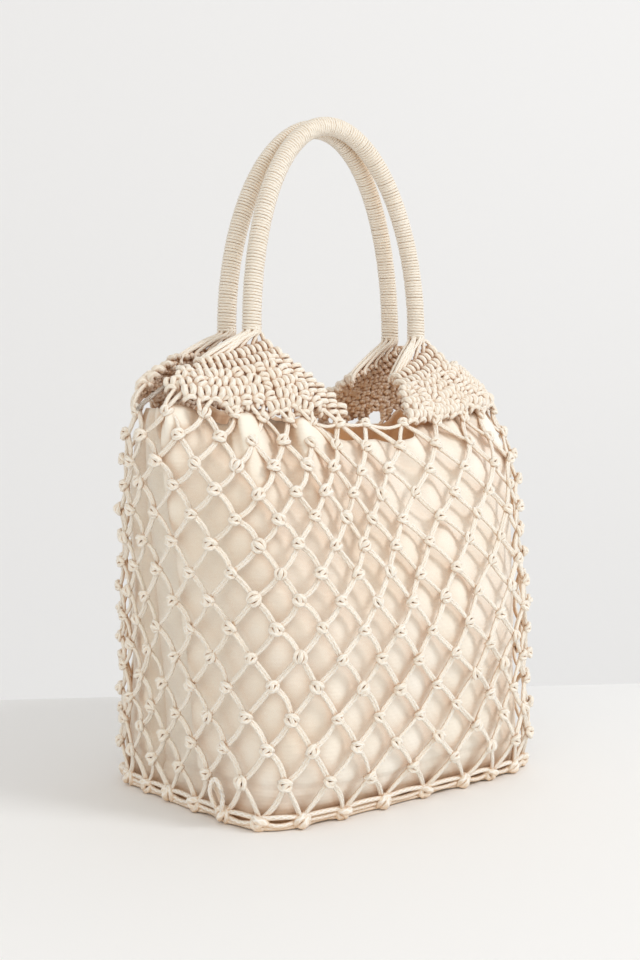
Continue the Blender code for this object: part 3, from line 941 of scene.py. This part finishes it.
def handle_route(end, steps):
    """Evenly spaced points of the middle of a handle, from foot to foot, and its length."""
    springing = HANDLE_FOOT + HANDLE_STRAIGHT
    rise = HANDLE_TOP - HANDLE_THICKNESS / 2 - springing
    top_y = (HANDLE_THICKNESS + HANDLE_TOUCH) / 2
    turn = np.linspace(0, math.pi, 361)
    arch = np.column_stack([np.cos(turn) * HANDLE_SPREAD / 2,
                            between(HANDLE_PITCH / 2, top_y, np.sin(turn) ** 2),
                            springing + rise * np.sin(turn)])
    feet = arch[[0, -1]].copy()
    feet[:, 2] = HANDLE_FOOT
    arch = np.vstack([feet[:1], arch, feet[1:]]) * (1, end, 1) + (STAND_SHIFT, 0, 0)
    length = distance_along(arch)
    places = np.clip(steps, 0, 1) * length[-1]
    return np.column_stack([np.interp(places, length, axis) for axis in arch.T]), length[-1]


def each_turn(turns, low, high):
    """A random value for each turn, with the steps between filled in."""
    steps = np.arange(turns + 1) * WRAP_STEPS
    return np.interp(np.arange(steps[-1] + 1), steps, [dice.uniform(low, high) for _ in steps])


for name, end in (("front", -1), ("back", 1)):
    core, length = handle_route(end, np.linspace(0, 1, CORE_STEPS))
    turns = round(length / WRAP_PITCH)
    count = turns * WRAP_STEPS + 1
    uneven = each_turn(turns, -WRAP_WANDER, WRAP_WANDER)
    centre, length = handle_route(end, np.linspace(0.002, 0.998, count) + uneven / length)
    straight_centre, length = handle_route(end, np.linspace(0, 1, count))
    tangent = unit(np.gradient(straight_centre, axis=0))
    side_way = unit(np.cross(tangent, (0.0, 1.0, 0.0)))
    out_way = np.cross(side_way, tangent)
    winding = np.linspace(0, 2 * math.pi * turns, count)[:, None]
    radial = np.cos(winding) * side_way + np.sin(winding) * out_way
    slack = each_turn(turns, *WRAP_SLACK)
    reach = HANDLE_THICKNESS / 2 - WRAP_RADIUS + slack[:, None]
    wrap_piece = weave(f"wrap_{name}", [(centre + radial * reach, WRAP_RADIUS, radial)], 8)
    core_piece = weave(f"core_{name}", [(core, HANDLE_THICKNESS / 2 - 1.15 * WRAP_RADIUS,
                                         np.array([0.0, 1.0, 0.0]))], 16)
    handle = join(f"handle_wrap_{name}", [wrap_piece, core_piece])
    finish_piece(handle, wrap_cotton, f"handle_{name}")
    print(f"{name} handle: {length * 1000:.0f} mm long, {turns} turns")

# %% [markdown]
# ## The canvas pouch
#
# The pouch is unbleached cotton canvas, cut as one wall and a sole. It starts as a grid that is
# wrapped round the bag. Soft hollows, a crease at each corner, the seam of the sole and the
# folds below its edge come from short tables. Between the top knots its edge bulges out in
# tabs. Solidify gives it its thickness.

# %% Canvas shape
CANVAS_COLUMNS = 420
CANVAS_ROWS = 100
CANVAS_INSET = 0.0150
CANVAS_FOOT_INSET = 0.0120
CANVAS_FLARE = 0.024
CANVAS_THICKNESS = 0.0014
PILLOW = 0.0004
HOLLOW_DEPTH = 0.010
CREASE_DEPTH = 0.0070
CREASE_WIDTH = 0.0030
BACK_CREASE = 0.048          # share of the way from the middle of a side to its back crease
GUSSET_STEP = 0.0130
GUSSET_FOOT = 0.05
SEAM_HEIGHT = 0.034
SEAM_WIDTH = 0.0030
SEAM_DEPTH = 0.0022
SEAM_WAVE = 0.003
SEAM_WAVES = 5
EDGE = (
    # share of the way round, height of the canvas edge
    (-0.30, 0.368), (-0.24, 0.368), (-0.211, 0.366), (-0.180, 0.362), (-0.146, 0.360),
    (-0.114, 0.361), (-0.079, 0.355), (-0.066, 0.345), (-0.051, 0.339), (-0.013, 0.340),
    (0.013, 0.336), (0.030, 0.340), (0.051, 0.348), (0.094, 0.358), (0.122, 0.363),
    (0.170, 0.367), (0.30, 0.370), (0.345, 0.366),
    (0.37, 0.354), (0.445, 0.350), (0.47, 0.353), (0.49, 0.358), (0.53, 0.360), (0.60, 0.368),
)
TABS = (
    # share, half width, then rise and out in millimetres
    (-0.305, 0.01, 2, 6), (-0.272, 0.009, 2, 7), (-0.241, 0.009, 2, 10), (-0.211, 0.0098, 7, 15),
    (-0.180, 0.011, -7, -13), (-0.146, 0.0118, 5, 14), (-0.114, 0.01, -3, -12),
    (-0.079, 0.018, 5, 12), (-0.030, 0.012, 0, 3), (0.060, 0.01, 2, 5), (0.100, 0.008, 5, 7),
    (0.140, 0.008, 4, 8), (0.176, 0.007, 3, 7), (0.215, 0.007, 3, 6), (0.262, 0.008, 3, 6),
    (0.305, 0.009, 5, 8), (0.352, 0.009, 6, 8), (0.400, 0.009, 5, 7), (0.452, 0.011, 3, 5),
    (0.520, 0.012, 3, 5), (0.575, 0.01, 5, 7), (0.622, 0.009, 6, 8), (0.668, 0.009, 5, 7),
)
TAB_HEIGHT = 0.036
TAB_REACH = 0.110
FOLD_REACH = 0.180
FOLD_DEPTH = 0.0078
FOLD_LEAST = 0.18            # share of the depth that is left low down
FOLDS = (
    # folds in a round, share of the depth, start
    (15, 0.6, 1.2), (23, 0.4, 0.0),
)
HOLLOWS = (
    # name, round, height, reach round, reach up, depth
    ("front middle", 0.015, 0.78, 0.060, 0.12, 1.00),
    ("front right", 0.110, 0.55, 0.050, 0.30, 0.55),
    ("right gusset", 0.245, 0.60, 0.030, 0.40, 1.00),
    ("back", 0.500, 0.66, 0.100, 0.22, 0.90),
    ("left gusset", 0.800, 0.50, 0.035, 0.36, 0.90),
    ("front left", 0.915, 0.62, 0.050, 0.24, 0.70),
)
CREASE = (
    # height, share of the way from the middle of a side to its front crease
    (0.000, 0.060), (0.022, 0.034), (0.040, 0.018), (0.070, 0.011), (0.135, 0.009),
    (0.192, 0.006), (0.248, 0.010), (0.313, 0.016), (0.370, 0.022),
)


def round_gap(share, middle):
    return (share - middle + 0.5) % 1.0 - 0.5


def eased(value):
    """Goes from 0 to 1 as the value does, without a corner at either end."""
    value = min(max(value, 0.0), 1.0)
    return value * value * (3 - 2 * value)


def tab_bump(share, tab):
    return math.exp(-(round_gap(share, tab[0]) / tab[1]) ** 4)


def canvas_edge(share):
    edge = np.interp(share, *zip(*EDGE), period=1.0)
    return float(edge) + sum(tab_bump(share, tab) * tab[2] / 1000 for tab in TABS)


def side_folds(share, height):
    """The two creases at a side of the bag, and the gusset that is sunk between them."""
    past_side = abs(round_gap(share, 0.0)) - 0.25
    front_gap = (past_side + np.interp(height, *zip(*CREASE))) / CREASE_WIDTH
    back_gap = (BACK_CREASE - past_side) / CREASE_WIDTH
    creases = math.exp(-front_gap ** 2) + math.exp(-back_gap ** 2)
    gusset = eased(0.5 + 0.8 * front_gap) * eased(0.5 + 0.5 * back_gap)
    return CREASE_DEPTH * creases + GUSSET_STEP * gusset * eased(height / GUSSET_FOOT)


def sole_seam(share, height, rise):
    """The groove of the seam above the sole. The canvas stays a little deeper below it."""
    seam = SEAM_HEIGHT + SEAM_WAVE * math.sin(2 * math.pi * SEAM_WAVES * share)
    below = (seam - height) / SEAM_WIDTH
    return SEAM_DEPTH * (math.exp(-below ** 2) + 0.6 * eased(below) * rise)


def cell_pillow(share, height):
    """The canvas swells a little in each diamond of the net."""
    up = min(max((height - RIM_KNOT_HEIGHT) / (net_top(share) - RIM_KNOT_HEIGHT), 0.0), 1.0)
    row = up ** (1 / ROW_CROWDING)
    column = NET_ROUND * (share - drift(DRIFT_ASIDE, share, row) / girth)
    return PILLOW * math.cos(2 * math.pi * column) * math.cos(math.pi * NET_ROWS * row)


def edge_folds(share, below):
    """Upright folds that fade below the edge, less the bulge of its tabs."""
    fold = sum(part * math.sin(2 * math.pi * count * share + start) for count, part, start in FOLDS)
    fade = max(1.0 - below / FOLD_REACH, 0.0)
    bulge = sum(tab_bump(share, tab) * tab[3] / 1000 for tab in TABS)
    bulge *= 0.70 * eased(1.25 - below / TAB_HEIGHT) + 0.30 * eased(1 - below / TAB_REACH)
    return FOLD_DEPTH * fold * (FOLD_LEAST + (1 - FOLD_LEAST) * fade ** 1.5) - bulge


def canvas_inset(share, height, edge):
    """How far the canvas lies in from the outside of the net."""
    rise = min(height / CANVAS_FLARE, 1.0)
    depth = side_folds(share, height) + sole_seam(share, height, rise)
    depth += cell_pillow(share, height) + edge_folds(share, edge - height)
    for name, middle, level, reach_round, reach_up, strength in HOLLOWS:
        gap = round_gap(share, middle) / reach_round
        up_gap = (height / BODY_HEIGHT - level) / reach_up
        depth += strength * HOLLOW_DEPTH * math.exp(-gap ** 2 - up_gap ** 2)
    return between(CANVAS_FOOT_INSET, CANVAS_INSET, rise) + rise * depth


bm = bmesh.new()
bmesh.ops.create_grid(bm, x_segments=CANVAS_COLUMNS, y_segments=CANVAS_ROWS, size=0.5)
for corner in bm.verts:
    share = corner.co.x + 0.5
    edge = canvas_edge(share)
    height = edge * (corner.co.y + 0.5) ** 1.12
    corner.co = wall_point(share, height, canvas_inset(share, height, edge))
bmesh.ops.remove_doubles(bm, verts=bm.verts, dist=0.00001)
sole = [edge for edge in bm.edges if edge.is_boundary and edge.verts[0].co.z < 0.001]
bmesh.ops.contextual_create(bm, geom=sole)
bmesh.ops.recalc_face_normals(bm, faces=bm.faces)
pouch = new_piece("canvas_pouch", bm)
mesh = pouch.data
mesh.polygons.foreach_set("use_smooth", [True] * len(mesh.polygons))
wall = pouch.modifiers.new("Canvas", "SOLIDIFY")
wall.thickness = CANVAS_THICKNESS
wall.offset = -1.0

# %% [markdown]
# ## Cotton canvas
#
# Plain canvas is woven one over, one under, with about ten threads to the centimetre. That
# is too fine to show here, so the weave is drawn about twice as coarse. Canvas is matt, a
# touch yellower than the cord, and has uneven threads. Its small flecks of seed are left out.

# %% Canvas material
THREAD_SPACING = 0.0019
WAVE_SCALE = math.pi / (20 * THREAD_SPACING)     # a Wave Texture has 20 radians a unit
FOLD_SHADE_REACH = 0.030
INSIDE_SHADE_REACH = 0.200         # the inside gets its light through the mouth and the cloth; painted shade reaches this far inside


def cotton_canvas(name, light, dark, shade_colour, reach):
    material, tree, shader = new_material(name, {"Roughness": 0.95, "Specular IOR Level": 0.2,
                                                 "Sheen Weight": 0.15, "Sheen Roughness": 0.6})
    place = add_node(tree, "TexCoord").outputs["Object"]
    waves = {}
    for number, axis in enumerate(("DIAGONAL", "Z")):
        wave = add_node(tree, "TexWave", {"Scale": WAVE_SCALE, "Distortion": 0.6, "Detail": 1.0},
                        {"Vector": place}, bands_direction=axis)
        waves[number] = wave.outputs[1]
    weave_height = add_node(tree, "Math", links=waves, operation="ADD")
    slubs = add_node(tree, "TexNoise", {"Scale": 220.0, "Detail": 3.0}, {"Vector": place})
    relief = add_node(tree, "Math", {1: 0.8}, {0: slubs, 2: weave_height},
                      operation="MULTIPLY_ADD")
    bump = add_node(tree, "Bump", {"Strength": 0.25, "Distance": 0.0004}, {"Height": relief})
    # Painted shade: the colour turns darker and warmer near folds and cords.
    colour = paint_depth_shade(tree, mottled(tree, 9.0, 4.0, light, dark), shade_colour, reach)
    tree.links.new(colour, shader.inputs["Base Color"])
    tree.links.new(bump.outputs[0], shader.inputs["Normal"])
    print("material:", name)
    return material


outer_canvas = cotton_canvas("Unbleached cotton canvas", "#FAF6ED", "#F6F0E3", "#D6AA7C",
                             FOLD_SHADE_REACH)
# The inside is a copy painted darker and warmer: painted shade, as the inside of the pouch lies in
# shade.
shaded_inner_canvas = cotton_canvas("Unbleached cotton canvas, inside, painted shade", "#F4E9D7", "#EFE1CB", "#BE9268",
                             INSIDE_SHADE_REACH)
finish_piece(pouch, outer_canvas, "liner")
pouch.data.materials.append(shaded_inner_canvas)
wall.material_offset = 1

# %% [markdown]
# ## Table, wall and light
#
# The bag stands on a white table in front of a pale wall. A large soft lamp hangs to the right
# of the camera, and the bright room fills the shadows.

# %% Stage
TABLE_COLOUR = "#F3F4F5"
WALL_COLOUR = "#BDBDBD"
TABLE_REACH = 3.0
TABLE_THICKNESS = 0.04
TABLE_BACK = 0.377           # from the middle of the bag to the back edge of the table
TABLE_SKEW = math.radians(7.1)
TABLE_HEIGHT = 1.2
WALL_BACK = 2.4
WALL_HEIGHT = 9.0
WALL_THICKNESS = 0.1
ROOM_WIDTH = 14.0

forward = Vector((math.sin(CAMERA_TURN), math.cos(CAMERA_TURN), 0.0))


def plain_material(name, colour, glow=0.0):
    return new_material(name, {"Base Color": linear(colour), "Roughness": 0.7,
                               "Emission Color": linear(colour), "Emission Strength": glow})[0]


def slab(name, size, centre, turn, material):
    """A flat block of the stage."""
    bm = bmesh.new()
    bmesh.ops.create_cube(bm, size=1.0)
    bmesh.ops.scale(bm, vec=size, verts=bm.verts)
    bmesh.ops.rotate(bm, matrix=Matrix.Rotation(turn, 3, "Z"), verts=bm.verts)
    bmesh.ops.translate(bm, vec=centre, verts=bm.verts)
    block = new_piece(name, bm)
    block.data.materials.append(material)


table_turn = -CAMERA_TURN + TABLE_SKEW
table_back = Matrix.Rotation(table_turn, 3, "Z") @ Vector((0, 1, 0))
slab("table", (2 * TABLE_REACH, TABLE_REACH, TABLE_THICKNESS),
     table_back * (TABLE_BACK - TABLE_REACH / 2) + Vector((0, 0, -TABLE_THICKNESS / 2)),
     table_turn, plain_material("Painted white table", TABLE_COLOUR))
slab("backdrop", (ROOM_WIDTH, WALL_THICKNESS, WALL_HEIGHT), forward * WALL_BACK, -CAMERA_TURN,
     plain_material("Pale wall", WALL_COLOUR, 0.80))
slab("ground", (ROOM_WIDTH, ROOM_WIDTH, WALL_THICKNESS), Vector((0, 0, -TABLE_HEIGHT)), -CAMERA_TURN,
     plain_material("Pale ground", WALL_COLOUR, 0.3))

# %% Lights
KEY_POWER = 63.0
KEY_SIZE = 1.1
FILL_POWER = 16.5
FILL_SIZE = 1.8
ROOM_STRENGTH = 0.68
GLOW_POWER = 0.17
GLOW_SIZE = 0.06
AIM_HEIGHT = 0.25

world = bpy.data.worlds.new("Bright room")
world.use_nodes = True
world.node_tree.nodes["Background"].inputs[0].default_value = (1.0, 0.975, 0.94, 1.0)
world.node_tree.nodes["Background"].inputs[1].default_value = ROOM_STRENGTH
bpy.context.scene.world = world


def lamp(kind, name, power, colour, place):
    """A lamp that faces the middle of the bag."""
    light = bpy.data.lights.new(name, kind)
    light.energy = power
    light.color = colour
    holder = add_object(name, light)
    holder.location = place
    towards = Vector((0, 0, AIM_HEIGHT)) - holder.location
    holder.rotation_euler = towards.to_track_quat("-Z", "Y").to_euler()
    return light


lamp("AREA", "key", KEY_POWER, (0.98, 0.99, 1.0), (1.42, -3.0, 2.72)).size = KEY_SIZE
lamp("AREA", "fill", FILL_POWER, (1.0, 0.91, 0.79), (-2.2, -1.9, 1.5)).size = FILL_SIZE

# Thin canvas lets some light through, which is warm inside the bag. A weak lamp stands for it.
glow = lamp("POINT", "glow_inside", GLOW_POWER, (1.0, 0.54, 0.24), (0.03, -0.02, 0.22))
glow.shadow_soft_size = GLOW_SIZE
bpy.context.scene.view_settings.view_transform = "Standard"
print("lamps:", ", ".join(light.name for light in bpy.data.lights))
